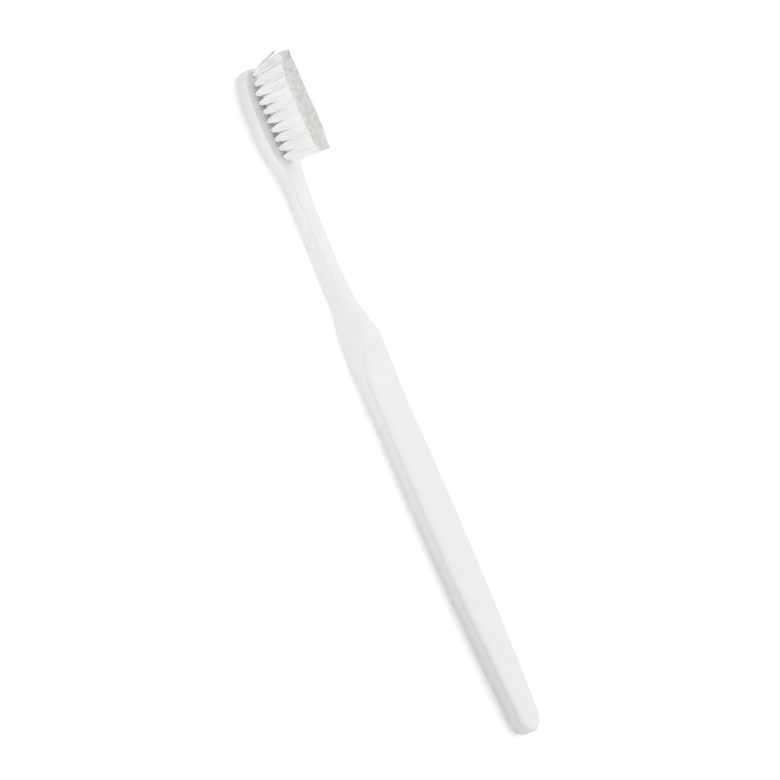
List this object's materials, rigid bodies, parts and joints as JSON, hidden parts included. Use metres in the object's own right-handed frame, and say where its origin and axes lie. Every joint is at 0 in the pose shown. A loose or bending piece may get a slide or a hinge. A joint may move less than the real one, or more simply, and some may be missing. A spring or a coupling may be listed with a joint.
{
  "type": "manual toothbrush",
  "caption": "Straight manual toothbrush with a flat tapered grip, a faceted shoulder, a slim neck and an oval head of fanned bristle tufts.",
  "frame": {"origin": "On the plane of the flat back, below the middle of the length", "axes": "+X along the brush from head to butt, +Z the way the bristles point, Y across"},
  "size_m": [0.1914, 0.0136, 0.017],
  "materials": {
    "plastic": "smooth glossy white moulding",
    "nylon": "soft satin nylon filament",
    "steel": "plain cut metal strip"
  },
  "bodies": {
    "root": {"handle": "plastic", "anchors": "steel", "tuft_01": "nylon", "tuft_02": "nylon", "tuft_03": "nylon", "tuft_04": "nylon", "tuft_05": "nylon", "tuft_06": "nylon", "tuft_07": "nylon", "tuft_08": "nylon", "tuft_09": "nylon", "tuft_10": "nylon", "tuft_11": "nylon", "tuft_12": "nylon", "tuft_13": "nylon", "tuft_14": "nylon", "tuft_15": "nylon", "tuft_16": "nylon", "tuft_17": "nylon", "tuft_18": "nylon", "tuft_19": "nylon", "tuft_20": "nylon", "tuft_21": "nylon", "tuft_22": "nylon", "tuft_23": "nylon", "tuft_24": "nylon", "tuft_25": "nylon", "tuft_26": "nylon", "tuft_27": "nylon"}
  },
  "joints": []
}
